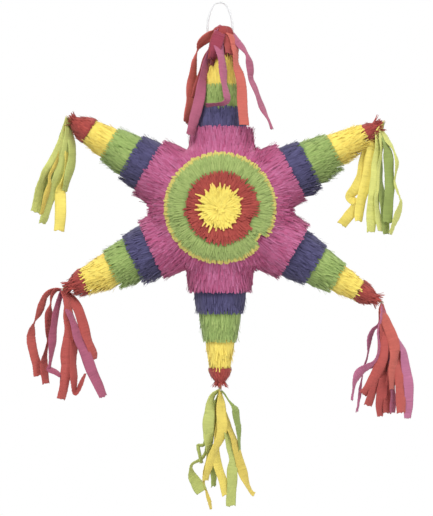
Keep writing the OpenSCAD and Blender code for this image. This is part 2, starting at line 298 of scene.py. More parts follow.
class Paper:
    """Collects closed bits of paper, with each point's tone and place along its finger."""

    def __init__(self):
        self.points, self.faces, self.tone, self.along = [], [], [], []
        self.count = 0

    def add(self, points, faces, tone, along):
        self.points.append(points.reshape(-1, 3))
        self.faces.append(faces + self.count)
        self.tone.append(np.broadcast_to(tone, len(self.points[-1])))
        self.along.append(np.broadcast_to(along, len(self.points[-1])))
        self.count += len(self.points[-1])

    def fingers(self, spine, normal, width, roll=0.0, tip=0.7, reach=1.0, tone=0.0):
        """Flat fingers with a slight ridge, one for each row of spine."""
        n, k = spine.shape[:2]
        if n == 0:
            return
        along = unit(np.gradient(spine, axis=1))
        across = unit(np.cross(along, normal))
        roll = np.broadcast_to(roll, n)[:, None, None]
        up = np.cross(across, along)
        across, up = (np.cos(roll) * across + np.sin(roll) * up,
                      np.cos(roll) * up - np.sin(roll) * across)
        t = np.linspace(0, 1, k)
        shape = np.interp(t, (0, 0.6, 1), (1, 1, tip))
        half = (width[:, None] * shape / 2)[..., None]
        ring = np.stack([spine - across * half, spine + up * RIDGE,
                         spine + across * half, spine - up * RIDGE * 0.6], 2)
        first = np.arange(n)[:, None, None] * (4 * k)
        quads = wall(k, 4)[None] + first
        caps = np.array([[[3, 2, 1, 0], [4 * k - 4, 4 * k - 3, 4 * k - 2, 4 * k - 1]]]) + first
        faces = np.concatenate([quads, caps], 1).reshape(-1, 4)
        self.add(ring, faces, np.repeat(rng.normal(tone, 1, n), 4 * k),
                 np.tile(np.repeat(t, 4), n) * reach)

    def shell(self, outside, inside, along=0.0, tone=0.0):
        """A closed skin between two grids of points that go right round."""
        rows, cols = outside.shape[:2]
        both = np.concatenate([outside, inside[::-1]], 0)
        self.add(both, wall(2 * rows, cols, closed=True), tone, along)

    def build(self, name, material, smooth):
        points, faces = np.concatenate(self.points), np.concatenate(self.faces)
        mesh = bpy.data.meshes.new(name)
        mesh.vertices.add(len(points))
        mesh.vertices.foreach_set("co", points.astype(np.float32).ravel())
        mesh.loops.add(faces.size)
        mesh.loops.foreach_set("vertex_index", faces.astype(np.int32).ravel())
        mesh.polygons.add(len(faces))
        mesh.polygons.foreach_set("loop_start", np.arange(0, faces.size, 4, dtype=np.int32))
        mesh.update(calc_edges=True)
        mesh.validate()
        for key, values in (("tone", self.tone), ("along", self.along)):
            data = mesh.attributes.new(key, "FLOAT", "POINT").data
            data.foreach_set("value", np.concatenate(values).astype(np.float32))
        mesh.polygons.foreach_set("use_smooth", np.full(len(faces), smooth))
        mesh.materials.append(material)
        return add_object(name, mesh)


def smooth_bumps(rows, cols, size):
    """Low bumps for the paper under the fringe, the same all round the seam."""
    bumps = rng.normal(0, size, (rows, cols))
    for _ in range(2):
        bumps = (bumps + np.roll(bumps, 1, 1) + np.roll(bumps, -1, 1)) / 3
    return bumps


# ---- materials

def feed(tree, socket, value):
    """Sets an input to a value, or to another node's output."""
    if isinstance(value, bpy.types.NodeSocket):
        tree.links.new(value, socket)
    else:
        socket.default_value = value


def node(tree, kind, output, **inputs):
    """A new node's output."""
    n = tree.nodes.new("ShaderNode" + kind)
    for key, value in inputs.items():
        feed(tree, n.inputs[key.replace("_", " ")], value)
    return n.outputs[output]


def linear(srgb):
    c = np.asarray(srgb, float) / 255
    return tuple(np.where(c <= 0.04045, c / 12.92, ((c + 0.055) / 1.055) ** 2.4)) + (1.0,)


def grey(level):
    return level, level, level, 1


def attribute(tree, name):
    n = tree.nodes.new("ShaderNodeAttribute")
    n.attribute_name = name
    return n.outputs["Fac"]


def ramp(tree, value, stops):
    n = tree.nodes.new("ShaderNodeValToRGB")
    elements = n.color_ramp.elements
    while len(elements) < len(stops):
        elements.new(0.5)
    for element, (place, colour) in zip(elements, stops):
        element.position = place
        element.color = colour
    tree.links.new(value, n.inputs["Fac"])
    return n.outputs["Color"]


def remap(tree, value, low, high):
    return node(tree, "MapRange", "Result", From_Min=low, From_Max=high, Value=value)


def mix(tree, fac, a, b, blend="MIX"):
    n = tree.nodes.new("ShaderNodeMix")
    n.data_type = "RGBA"
    n.blend_type = blend
    for key, value in (("Factor", fac), ("A", a), ("B", b)):
        feed(tree, [s for s in n.inputs if s.name == key and s.enabled][0], value)
    return [s for s in n.outputs if s.enabled][0]


def mottled(tree, colour, value, start, end, shade):
    """A colour that value darkens, down to shade where it is under start."""
    darker = ramp(tree, value, ((start, grey(shade)), (end, grey(1))))
    return mix(tree, 1.0, colour, darker, "MULTIPLY")


def here(tree):
    """The shaded point's place in its object's own space."""
    return node(tree, "TexCoord", "Object")


def times(tree, value, factor):
    n = tree.nodes.new("ShaderNodeMath")
    n.operation = "MULTIPLY"
    feed(tree, n.inputs[0], value)
    feed(tree, n.inputs[1], factor)
    return n.outputs["Value"]


def noise(tree, scale, detail=3.0, vector=None):
    return node(tree, "TexNoise", "Fac", Scale=scale, Detail=detail,
                Vector=here(tree) if vector is None else vector)


def new_material(name, roughness, sheen=0.0):
    m = bpy.data.materials.new(name)
    m.use_nodes = True
    shader = m.node_tree.nodes["Principled BSDF"]
    for key, value in (("Roughness", roughness), ("Sheen Weight", sheen),
                       ("Sheen Roughness", 0.6), ("Specular IOR Level", 0.25)):
        shader.inputs[key].default_value = value
    return m, m.node_tree, shader


def paint(tree, shader, colour, height, strength, distance):
    """Gives a material its colour, and bumps from height."""
    feed(tree, shader.inputs["Base Color"], colour)
    feed(tree, shader.inputs["Normal"],
         node(tree, "Bump", "Normal", Strength=strength, Distance=distance, Height=height))


def by_tone(tree, dark, middle, light):
    """Each finger's or streamer's colour, from its tone. The tone is the paper's own, except where
    painted shade darkens the pink valleys and painted light lightens the lower right's pink
    streamers.
    """
    return ramp(tree, remap(tree, attribute(tree, "tone"), -2, 2),
                ((0.0, linear(dark)), (0.5, linear(middle)), (1.0, linear(light))))


def tissue(name, light, dark, deep, tip=None):
    """Tissue paper: each finger has its own tone. Its glued end takes the deep colour, a painted
    shade where the next row lies over it, and its tip may differ.
    """
    m, tree, shader = new_material(name, 0.85, 0.15)
    tone = by_tone(tree, dark, [(a + b) / 2 for a, b in zip(light, dark)], light)
    along = attribute(tree, "along")
    # painted shade: the deep colour darkens each finger's glued end, where the next row covers it
    colour = mix(tree, remap(tree, along, -0.2, 0.35), linear(deep), tone)
    if tip is not None:
        colour = mix(tree, remap(tree, along, 0.62, 0.82), colour, linear(tip))
    colour = mottled(tree, colour, noise(tree, 130.0), 0.3, 0.7, 0.86)
    paint(tree, shader, colour, noise(tree, 900.0, 4.0), 0.35, 0.4 * MM)
    return m


# Light, dark and deep colours of each tissue, the deep one being painted shade at the fingers'
# glued ends; the medallions' also have a tip colour.
TISSUES = {name: tissue("tissue_" + name, *shades) for name, shades in {
    "pink": ((195, 114, 155), (173, 76, 118), (158, 54, 94)),
    "purple": ((88, 84, 126), (66, 62, 98), (46, 44, 76)),
    "green": ((168, 190, 112), (136, 162, 88), (98, 126, 66)),
    "yellow": ((250, 230, 114), (240, 214, 98), (226, 186, 78)),
    "red": ((182, 80, 70), (154, 60, 56), (124, 42, 42)),
    "medallion_green": ((166, 184, 110), (142, 164, 92), (104, 130, 68), (208, 194, 104)),
    "medallion_yellow": ((245, 226, 110), (237, 214, 96), (236, 208, 98), (242, 204, 108)),
}.items()}


def crepe(name, dark, middle, light):
    """Crepe paper: fine crinkles across the streamer, with painted shade in their hollows, and a
    tone for each streamer.
    """
    m, tree, shader = new_material(name, 0.75, 0.1)
    colour = by_tone(tree, dark, middle, light)
    x, y = [node(tree, "SeparateXYZ", axis, Vector=here(tree)) for axis in "XY"]
    lookup = node(tree, "CombineXYZ", "Vector", X=times(tree, attribute(tree, "along"), 90),
                  Y=times(tree, x, 40), Z=times(tree, y, 40))
    crinkles = noise(tree, 1.0, 3.0, lookup)
    # painted shade: the crinkles' low parts, where the bump sinks, are darkened
    colour = mottled(tree, colour, crinkles, 0.35, 0.6, 0.90)
    colour = mottled(tree, colour, noise(tree, 45.0), 0.3, 0.7, 0.92)
    paint(tree, shader, colour, crinkles, 0.5, 0.5 * MM)
    return m


CREPES = {name: crepe("crepe_" + name, *shades) for name, shades in {
    "lime": ((136, 156, 82), (198, 204, 118), (228, 224, 122)),
    "yellow": ((208, 184, 86), (238, 219, 108), (248, 236, 132)),
    "red": ((150, 58, 58), (184, 86, 80), (208, 114, 96)),
    "pink": ((146, 52, 72), (169, 90, 116), (196, 122, 158)),
}.items()}


def fibrous(name, roughness, dark, light, scale, stretch, depth, clear=0.0):
    """Card, tape or thread: noise drawn out along one way, in its colour and its bump."""
    m, tree, shader = new_material(name, roughness)
    shader.inputs["Transmission Weight"].default_value = clear
    fibres = noise(tree, scale, 5.0, node(tree, "Mapping", "Vector", Scale=stretch,
                                          Vector=here(tree)))
    colour = ramp(tree, fibres, ((0.3, linear(dark)), (0.7, linear(light))))
    paint(tree, shader, colour, fibres, 0.3, depth)
    return m


CARD = fibrous("cardboard", 0.9, (150, 116, 78), (190, 154, 110), 220.0, (1, 1, 0.25), 0.2 * MM)
TAPE = fibrous("paper_tape", 0.7, (186, 158, 112), (206, 182, 138), 300.0, (0.2, 1, 0.2), 0.1 * MM)
THREAD = fibrous("thread", 0.8, (196, 186, 168), (236, 228, 214), 900.0, (1, 1, 3), 0.1 * MM)
LOOP = fibrous("loop_plastic", 0.38, (232, 233, 234), (244, 245, 246), 90.0, (1, 1, 0.3),
               0.05 * MM, clear=0.25)


# ---- fringe on the arms

def scatter_round(n, jitter):
    """n turns right round an axis, each moved by up to jitter of the step between them."""
    return (np.arange(n) + rng.uniform(-jitter, jitter, n)) * 2 * math.pi / n


def rows_inwards(first, stop, pitch):
    """Where each row is glued, from the outermost inwards, and whether it is the outermost."""
    base = first
    while base > stop:
        yield base, base == first
        base -= pitch


def finger_heights(n, base, end, flare, share):
    """Heights along fingers that rise from base to end; a share of them stand up as tufts."""
    curl = rng.normal(0, 0.3 * MM, (n, 1))
    tuft = (rng.random((n, 1)) < share) * rng.uniform(0.3, 1, (n, 1)) * flare
    return base + (end - base) * ALONG ** 0.8 + curl * ALONG ** 2 + tuft * ALONG ** 2.5


# How far the fringe hangs away from each arm's underside
DROOP = dict(zip(ARMS, mm(0, 10, 4, 0, 9, 4)))


def droop(arm, out):
    """The fringe's own weight pulls it off the underside, most at the fingers' ends."""
    under = np.clip(-out[..., 2], 0, 1) ** 1.5
    over = np.clip(out[..., 2], 0, 1)
    return DROOP[arm.name] * (under * (0.3 + 0.7 * ALONG ** 1.2) - 0.12 * over)


UNEVEN = (0.83, 1.13)  # the shortest and longest fingers in a row, as shares of their length
TRIMMED = (0.94, 1.04)  # the same for the last row, which was cut along a line


def cone_fingers(paper, arm, base_d, length, radius_at, lift, share, spacing, width, yaw=0.12,
                 spread=UNEVEN):
    """One row of fingers round an arm, laid along it.

    radius_at gives the coat's radius, lift the heights above it that finger_heights takes.
    """
    n = max(int(round(2 * math.pi * radius_at(np.array([base_d]))[0] / spacing)), 8)
    phi = scatter_round(n, 0.35)
    size = length * rng.uniform(*spread, (n, 1))
    turn = rng.normal(0, yaw, (n, 1))
    d = base_d + rng.normal(0, 0.7 * MM, (n, 1)) + size * ALONG * np.cos(turn)
    r = radius_at(d) + finger_heights(n, *lift, share) + droop(arm, arm.out(phi)[:, None])
    angle = phi[:, None] + size * ALONG * np.sin(turn) / np.maximum(r, 4 * MM)
    paper.fingers(arm.point(d, r, angle), arm.out(angle), width * rng.uniform(0.8, 1.15, n),
                  rng.normal(0, ROLL, n))


def band_envelope(band, start_height, end_height):
    """The coat's radius along a band, which flares towards its outer end."""
    def radius_at(d):
        return band.card_at(d) + np.interp(d, (band.start, band.end), (start_height, end_height))
    return radius_at


SKIN_LAP = 3.5 * MM  # each band's skin lies this much nearer the centre than its fringe


def under_skin(paper, arm, band, thick, stop=0.0):
    """The paper that a band's rows are glued to."""
    rows, cols = 7, 56
    d, phi = grid(rows, cols, band.start - SKIN_LAP, band.end - stop)
    card = band.card_at(d)
    outside = arm.point(d, card + thick + smooth_bumps(rows, cols, 0.1 * MM), phi)
    paper.shell(outside, arm.point(d, card + 0.1 * MM, phi))


ROW_PITCH = 5.5 * MM  # between rows of fingers
BAND_ROWS = {  # finger length, how far the last row hangs over, heights at the start and end
    "purple": mm(17, 0.5, 1.6, 3.6),
    "green": mm(17, 0.5, 1.2, 3.4),
    "yellow": mm(18, 1, 1.2, 3.2),
}


def dress_band(arm, colour):
    band = arm.bands[colour]
    length, overhang, low, high = BAND_ROWS[colour]
    radius_at = band_envelope(band, low, high)
    paper = Paper()
    under_skin(paper, arm, band, 0.8 * MM, SKIN_LAP)
    for base, last in rows_inwards(band.end + overhang - length, band.start - 0.5 * length,
                                   ROW_PITCH):
        cone_fingers(paper, arm, max(base, band.start - SKIN_LAP), length, radius_at,
                     mm(-0.7, 0.4, 4.5), share=0.15 if last else 0.08, spacing=1.2 * MM,
                     width=2.0 * MM, spread=TRIMMED if last else UNEVEN)
    return paper


# How much fuller than the solid each arm's red fringe is
RED_FULL = dict(zip(ARMS, mm(0.5, -0.2, 3, 3, 2.5, 3)))
RED_LENGTH, RED_PITCH, RED_LAP = mm(13, 4.5, 7)


def dress_red(arm):
    """Red rows narrow to the tie at the arm's point."""
    band = arm.bands["red"]
    paper = Paper()
    under_skin(paper, arm, band, 0.5 * MM, 0.5 * MM)
    end_r = band.coat[1]
    full = RED_FULL[arm.name]

    def radius_at(d):
        return np.interp(d, (band.start, (band.start + band.end) / 2, band.end),
                         (band.coat[0] + full, (band.coat[0] + end_r) / 2 + full, end_r + full / 2))

    for base, _ in rows_inwards(band.end - RED_LENGTH, band.start - RED_LAP, RED_PITCH):
        cone_fingers(paper, arm, max(base, band.start - SKIN_LAP), RED_LENGTH, radius_at,
                     mm(-0.8, 0.5, 3.5), share=0.12, spacing=1.4 * MM, width=2.1 * MM, yaw=0.15)
    return paper


FLARE_BACK = 12 * MM  # how far before the tie the last red fingers start
FLARE_PINCH = 0.4  # how far along them the tie pinches them


def flare_tip(paper, arm):
    """The last red fingers, pinched by the tie and flared out again beyond it."""
    band = arm.bands["red"]
    n = 44
    phi = scatter_round(n, 0.4)
    end = arm.reach - rng.uniform(0, 3.5, (n, 1)) * MM
    d = (band.end - FLARE_BACK) + (end - band.end + FLARE_BACK) * ALONG
    spread = rng.uniform(6.5, 13.5, (n, 1)) * MM
    start_r = np.interp(band.end - FLARE_BACK, (band.start, band.end), band.coat)
    start_r = start_r + RED_FULL[arm.name]
    tie_r = band.coat[1] + 0.6 * MM
    beyond = (np.maximum(ALONG - FLARE_PINCH, 0) / (1 - FLARE_PINCH)) ** 1.4
    r = np.where(ALONG < FLARE_PINCH, start_r + (tie_r - start_r) * ALONG / FLARE_PINCH,
                 tie_r + (spread - band.coat[1]) * beyond)
    angle = phi[:, None] + rng.normal(0, 0.12, (n, 1)) * ALONG
    paper.fingers(arm.point(d, r, angle), arm.out(angle), 2.6 * MM * rng.uniform(0.7, 1.2, n),
                  rng.normal(0, 0.35, n), tip=0.4, tone=-0.6)


# ---- pink body

def nearest_arm(points):
    flat = unit((points - core.centre) * [1, 0, 1])
    ways = [unit(a.origin + a.reach * a.axis - core.centre) for a in arms.values()]
    return np.argmax(np.stack([flat @ way for way in ways], 1), 1)


OUTSIDE = 0.12  # this far from an arm's axis is clear of the pink coat
MEDALLION_R = 72 * MM
PINK_SHORT = 0.5 * MM  # the last row stops short by this
PINK_LENGTH = 20 * MM
PINK_FINGERS = 340  # in a row that goes right round
TURN_FROM, TURN_OVER = mm(70, 45)  # fingers turn along the arm over this stretch of it
HANG_FROM, HANG_OVER = mm(85, 25)  # and hang off its underside over this one
VALLEY_FROM, VALLEY_OVER = 12, 14  # painted shade: the pink darkens towards the valleys over these degrees off the arm's axis
# The angle of the valley beside each arm, and how far out its loose tufts reach
VALLEYS = dict(zip(ARMS, zip((117.5, 55, 1, -62, 241, 181), mm(92, 103, 106, 102, 100, 103))))


def valley_tufts(paper, angle, reach):
    """Loose tufts that stand out of the valley between two arms, in a darker tone that is painted
    shade.
    """
    n, half_fan = 150, 12
    turn = rng.uniform(-1, 1, n)
    way = np.radians(angle + half_fan * turn)
    heading = np.stack([np.cos(way), np.zeros(n), np.sin(way)], 1)
    y = rng.uniform(-0.85, 0.85, n) * (core.edge_y + core.edge_r)
    over = np.clip((np.abs(y) - core.edge_y) / core.edge_r, 0, 1)
    tip = reach + 5 * MM * turn ** 2 - core.edge_r * (1 - np.sqrt(1 - over ** 2))
    length = PINK_LENGTH * rng.uniform(0.8, 1.1, n)
    rho = (tip - rng.uniform(0, 5, n) * MM - length)[:, None] + length[:, None] * ALONG
    spine = core.centre + heading[:, None] * rho[..., None]
    spine[:, :, 1] += y[:, None] + rng.normal(0, 1.5 * MM, (n, 1)) * ALONG ** 2
    facing = np.stack([np.zeros(n), np.sign(y), np.zeros(n)], 1) + rng.normal(0, 0.35, (n, 3))
    normal = unit(facing - dot(facing, heading) * heading)
    # painted shade: the tufts' tone is lowered for the valley's shade
    paper.fingers(spine, np.repeat(normal[:, None], SPINE, 1), 2.2 * MM * rng.uniform(0.8, 1.2, n),
                  tip=0.5, tone=-1.2)


def dress_pink(index, arm):
    """Pink rows run from the medallions over the core and along the arm, as one coat."""
    distance = pink_distance(arm)
    paper = Paper()
    rows, cols = 12, 88
    d, phi = grid(rows, cols, CONE_ROOT, arm.pink_end - SKIN_LAP)
    start = arm.point(d, OUTSIDE, phi).reshape(-1, 3)
    hit = come_down_on(distance, start, -arm.out(phi).reshape(-1, 3))
    _, n = distance(hit)
    bumps = smooth_bumps(rows, cols, 0.3 * MM).reshape(-1, 1)
    paper.shell((hit - n * (1.6 * MM + bumps)).reshape(rows, cols, 3),
                (hit - n * 2.8 * MM).reshape(rows, cols, 3))
    for base, last in rows_inwards(arm.pink_end - PINK_SHORT - PINK_LENGTH, CONE_ROOT, ROW_PITCH):
        phi = scatter_round(PINK_FINGERS, 0.4)
        d = base + rng.normal(0, 0.8 * MM, PINK_FINGERS)
        hit = come_down_on(distance, arm.point(d, OUTSIDE, phi), -arm.out(phi))
        rho = np.linalg.norm((hit - core.centre)[:, [0, 2]], axis=1)
        covered = (rho < MEDALLION_R - 4 * MM) & (np.abs(hit[:, 1]) > 20 * MM)
        keep = (nearest_arm(hit) == index) & ~covered
        hit, d = hit[keep], d[keep]
        m = len(hit)
        radial = unit((hit - core.centre) * [1, 0, 1])
        share = np.clip((d - TURN_FROM) / TURN_OVER, 0, 1)[:, None] * 0.75
        heading = unit(radial * (1 - share) + arm.axis * share)
        across = np.cross(heading, unit(hit - core.centre))
        heading = unit(heading + across * rng.normal(0, 0.13, (m, 1)))
        lift = finger_heights(m, -0.9 * MM, 0.8 * MM, 5 * MM, 0.2 if last else 0.07)
        hang = np.clip((d - HANG_FROM) / HANG_OVER, 0, 1)[:, None] * 0.6
        lift = lift + hang * droop(arm, arm.away(hit)[:, None])
        size = PINK_LENGTH * rng.uniform(*(TRIMMED if last else UNEVEN), m)
        spine, normal = lay_over(distance, hit, heading, size, lift)
        off_axis = np.degrees(np.arccos(np.clip(radial @ arm.axis, -1, 1)))
        # painted shade: fingers further off the arm's axis, towards the valleys between arms, get a
        # darker tone
        paper.fingers(spine, normal, 2.0 * MM * rng.uniform(0.8, 1.2, m), rng.normal(0, ROLL, m),
                      tone=-1.5 * np.clip((off_axis - VALLEY_FROM) / VALLEY_OVER, 0, 1))
    valley_tufts(paper, *VALLEYS[arm.name])
    return paper


# ---- medallions

FLAP_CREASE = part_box("fill_flap")[1][2]  # the height of the flap's top edge
CREASE_GAP = 0.8 * MM  # fingers keep this far from the crease on both sides


def medallion_point(rho, theta, side):
    """A point on the core's front (side -1) or back (side 1), and the way out there."""
    rho, theta = np.broadcast_arrays(rho, theta)
    over = np.clip(rho - core.face_r, 0, core.edge_r * 0.999)
    depth = core.edge_y + np.sqrt(core.edge_r ** 2 - over ** 2)
    radial = np.stack([np.sin(theta), np.zeros_like(theta), np.cos(theta)], -1)
    point = core.centre + radial * rho[..., None]
    point[..., 1] = side * depth
    out = radial * (over / core.edge_r)[..., None]
    out[..., 1] = side * np.sqrt(1 - (over / core.edge_r) ** 2)
    return point, unit(out)


def medallion_shell(paper, side, sizes):
    """A ring's backing. sizes has its inner and outer radius and its two heights, in mm."""
    r0, r1, low, high = mm(*sizes)
    rows, cols = 6, 96
    rho, theta = grid(rows, cols, r0, r1)
    point, out = medallion_point(rho, theta, side)
    top = (high + smooth_bumps(rows, cols, 0.2 * MM))[..., None]
    paper.shell(point + out * top, point + out * low)


def medallion_row(paper, side, sizes, tip=0.7, spread=(0.87, 1.08), yaw=0.1, reach=1.0,
                  edge=None, crease=None):
    """One ring of fingers.

    sizes has the radius that they start at, their length, their heights at both ends, their
    spacing and their width, in mm. edge(theta) makes them longer or shorter, and crease stops
    them short.
    """
    base_r, length, low, high, spacing, width = mm(*sizes)
    n = max(int(round(2 * math.pi * (base_r + 0.5 * length) / spacing)), 8)
    theta = scatter_round(n, 0.35)
    size = length * rng.uniform(*spread, n)
    if edge is not None:
        size = size + edge(theta)
    if crease is not None:
        size = np.minimum(size, crease / np.maximum(np.cos(theta), 0.01) - base_r)
    keep = size > 0.3 * length
    n, theta, size = keep.sum(), theta[keep, None], size[keep, None]
    turn = rng.normal(0, yaw, (n, 1))
    rho = base_r + rng.normal(0, 0.7 * MM, (n, 1)) + size * ALONG * np.cos(turn)
    angle = theta + size * ALONG * np.sin(turn) / np.maximum(rho, 6 * MM)
    point, out = medallion_point(rho, angle, side)
    lift = finger_heights(n, low, high, 2.5 * MM, 0.06)
    spine = point + out * lift[..., None]
    paper.fingers(spine, out, width * rng.uniform(0.8, 1.15, n), rng.normal(0, ROLL, n), tip=tip,
                  reach=reach)


def within(theta, start, end):
    """Whether each angle, clockwise from the top as seen from the front, is in a range."""
    turn = np.degrees(theta) % 360
    return (turn > start) & (turn < end)


def green_edge(theta):
    """The green strip's two ends meet in a notch."""
    return np.where(within(theta, 122, 135), -9 * MM, 0)


def red_edge(theta):
    """The red ring is fuller at one side, and steps in where its strip ends."""
    fuller = 2.6 * MM * np.cos(theta - math.radians(100))
    return fuller - np.where(within(theta, 102, 122), 7 * MM, 0)


def yellow_edge(theta):
    """Fewer of the yellow spikes are long at one side."""
    return np.where(within(theta, 65, 185), -5 * MM, 0)


def medallion_green(side):
    paper = Paper()
    medallion_shell(paper, side, (48, 66, 0.2, 3.2))
    for base in (58.3, 58.8):
        medallion_row(paper, side, (base, 15, 3.0, 4.6, 1.2, 2.2), spread=(0.96, 1.03), tip=0.9,
                      edge=green_edge)
    for base in (55.2, 51.5, 48, 44.5):
        medallion_row(paper, side, (base, 15, 3.4, 5.2, 1.2, 1.9), reach=0.6, edge=green_edge)
    return paper


def medallion_red(side):
    paper = Paper()
    medallion_shell(paper, side, (26, 46, 0.2, 4.2))
    for base in (34.5, 31, 27.5, 24):
        medallion_row(paper, side, (base, 15.5, 4.6, 6.6, 1.3, 2.0), spread=(0.82, 1.12),
                      edge=red_edge)
    return paper


def medallion_yellow(side, crease=None):
    """The middle disc. On the flap it stops at the crease."""
    paper = Paper()
    medallion_shell(paper, side, (0.5, 28 if crease is None else 25, 0.4, 5.2))
    medallion_row(paper, side, (19, 17, 6.0, 8.2, 5.2, 3.2), tip=0.5, spread=(0.65, 1.15),
                  yaw=0.15, edge=yellow_edge, crease=crease)
    for base in (14.5, 12.5, 10, 7.5, 5):
        medallion_row(paper, side, (base, 13.5, 6.4, 8.0, 1.4, 2.4), yaw=0.3,
                      spread=(0.85, 1.15), crease=crease, reach=0.6)
    medallion_row(paper, side, (0.5, 9, 7.2, 8.0, 0.9, 2.6), yaw=0.6, reach=0.6)
    return paper


def yellow_above_crease():
    """The back disc's fingers that are glued above the flap's crease."""
    paper = Paper()
    n = 16
    x = np.linspace(-13, 13, n) * MM + rng.normal(0, 0.5 * MM, n)
    size = rng.uniform(5, 9.5, (n, 1)) * MM
    spine = np.zeros((n, SPINE, 3))
    spine[:, :, 0] = x[:, None] * (1 + 0.25 * ALONG)
    spine[:, :, 1] = core.edge_y + core.edge_r + (7.2 + 1.2 * ALONG) * MM
    spine[:, :, 2] = FLAP_CREASE + CREASE_GAP + size * ALONG
    paper.fingers(spine, np.broadcast_to([0, 1.0, 0], spine.shape), np.full(n, 3.4 * MM),
                  rng.normal(0, ROLL, n), tip=0.45)
    return paper


# ---- putting the star together

def place(paper, name, material, body, slot, replaced=None, smooth=False):
    """Makes a piece that moves with body and may stand for a node of the frame."""
    obj = paper.build(name, material, smooth)
    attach(obj, body)
    if replaced:
        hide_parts(replaced)
    return obj


def dress_arm(index, arm):
    """Each colour's paper, made from the centre outwards."""
    yield "pink", dress_pink(index, arm)
    for colour in BANDS[:3]:
        yield colour, dress_band(arm, colour)
    red = dress_red(arm)
    if arm.name in TIED_ARMS:
        flare_tip(red, arm)
    yield "red", red


def dress_arms():
    for index, (name, arm) in enumerate(arms.items()):
        for colour, paper in dress_arm(index, arm):
            place(paper, f"{colour}_{name}", TISSUES[colour], "star", f"tissue_{colour}",
                  f"fringe_{colour}_{name}")


def dress_medallions():
    for side, word in ((-1, "front"), (1, "back")):
        place(medallion_green(side), f"green_ring_{word}", TISSUES["medallion_green"], "star",
              "tissue_green", f"medallion_{word}_green")
        place(medallion_red(side), f"red_ring_{word}", TISSUES["red"], "star", "tissue_red",
              f"medallion_{word}_red")
    yellow = TISSUES["medallion_yellow"]
    place(medallion_yellow(-1), "yellow_disc_front", yellow, "star", "tissue_yellow",
          "medallion_front_yellow")
    crease = FLAP_CREASE - core.centre[2] - CREASE_GAP
    place(medallion_yellow(1, crease), "yellow_disc_back", yellow, "flap", "tissue_yellow",
          "medallion_back_yellow")
    place(yellow_above_crease(), "yellow_tuft_back", yellow, "star", "tissue_yellow")


# ---- crepe streamers

STREAMER_W = 15 * MM
PAPER_T = 0.35 * MM
TILT_LIMIT = 1.0  # the most that a streamer turns its edge to the front, in radians
# The length of streamer in which its trough, waves and edge waves each turn by one radian
TROUGH_RUN, WAVE_RUN, EDGE_RUN = mm(23, 9, 6.1)


@dataclass
class Streamer:
    """A crepe streamer: its tone, how far it hangs in front of (-) or behind (+) its knot, and
    its stations, each [sideways, height, width seen from the front], in mm from the knot."""
    tone: float
    depth: float
    stations: list


def smooth_path(points, samples=14):
    """A smooth curve through points, with samples steps between each two."""
    points = np.asarray(points, float)
    padded = np.vstack([2 * points[0] - points[1], points, 2 * points[-1] - points[-2]])
    t = np.linspace(0, 1, samples, endpoint=False)[:, None]
    rows = []
    for a, b, c, d in zip(padded, padded[1:], padded[2:], padded[3:]):
        rows.append(0.5 * (2 * b + (c - a) * t + (2 * a - 5 * b + 4 * c - d) * t ** 2
                           + (3 * b - a - 3 * c + d) * t ** 3))
    return np.vstack(rows + [points[-1:]])


def streamer_frame(path, seen):
    """Half widths and the way across a ribbon that shows the width in seen from the front."""
    along = unit(np.gradient(path, axis=0))
    across = unit(np.cross(along, FRONT))
    face = np.cross(across, along)
    tilt = np.minimum(np.arccos(np.clip(seen / STREAMER_W, 0, 1)), TILT_LIMIT)
    half = np.clip(seen / np.cos(tilt), 1.2 * MM, STREAMER_W * 1.25) / 2
    c, s = np.cos(tilt)[:, None], np.sin(tilt)[:, None]
    return half, c * across + s * face, c * face - s * across


def add_streamer(paper, streamer, knot, depth_at):
    """One ribbon from its stations, with a soft trough across it and loose waves along it."""
    path = smooth_path(np.array(streamer.stations) * MM)
    seen = np.maximum(path[:, 2], 1.0 * MM)
    xz = path[:, :2]
    run = np.concatenate([[0], np.cumsum(np.linalg.norm(np.diff(xz, axis=0), axis=1))])
    y = depth_at(streamer, xz, run)
    centre = knot + np.stack([xz[:, 0], y, xz[:, 1]], 1)
    half, across, face = streamer_frame(centre, seen)
    cols = 9
    u = np.linspace(-1, 1, cols)
    phase = rng.uniform(0, 6.28, 4)
    trough = (0.8 + 0.9 * np.sin(run / TROUGH_RUN + phase[0])) * MM * np.minimum(run / (20 * MM), 1)
    wave = 0.9 * MM * np.sin(run / WAVE_RUN + phase[1])
    edge = 0.7 * MM * np.sin(run / EDGE_RUN + phase[2])
    loose = np.minimum(run / (25 * MM), 1)[:, None]
    pleat = 0.7 * MM * np.cos(2.5 * math.pi * u) * (1.15 - loose)
    crinkle = rng.normal(0, 0.17 * MM, len(run))[:, None] * (1 + 0.5 * np.sin(3 * u + phase[3]))
    lift = (trough[:, None] * (1 - u ** 2) + (wave[:, None] + edge[:, None] * u ** 3) * loose
            + pleat + crinkle)
    front = (centre[:, None] + across[:, None] * (half[:, None] * u)[..., None]
             + face[:, None] * lift[..., None])
    cut = rng.uniform(-2.4, 0.6, cols) * MM
    front[-1] += unit(centre[-1] - centre[-2]) * cut[:, None]
    back = front - face[:, None] * PAPER_T
    n = len(run)
    ring = np.concatenate([front, back[:, ::-1]], 1)
    size = 2 * cols
    k = np.arange(cols - 1)
    cap = np.stack([k, size - 1 - k, size - 2 - k, k + 1], -1)
    ends = np.concatenate([cap, (cap + (n - 1) * size)[:, ::-1]])
    faces = np.concatenate([wall(n, size), ends])
    paper.add(ring, faces, streamer.tone, np.repeat(run / MM / 100, size))
    return run[-1]


def hang_depth(streamer, xz, run):
    """Streamers part from each other below the knot."""
    sway = 1.5 * MM * np.sin(run / (31 * MM) + streamer.depth)
    return (streamer.depth * MM + sway) * np.minimum(run / (22 * MM), 1)


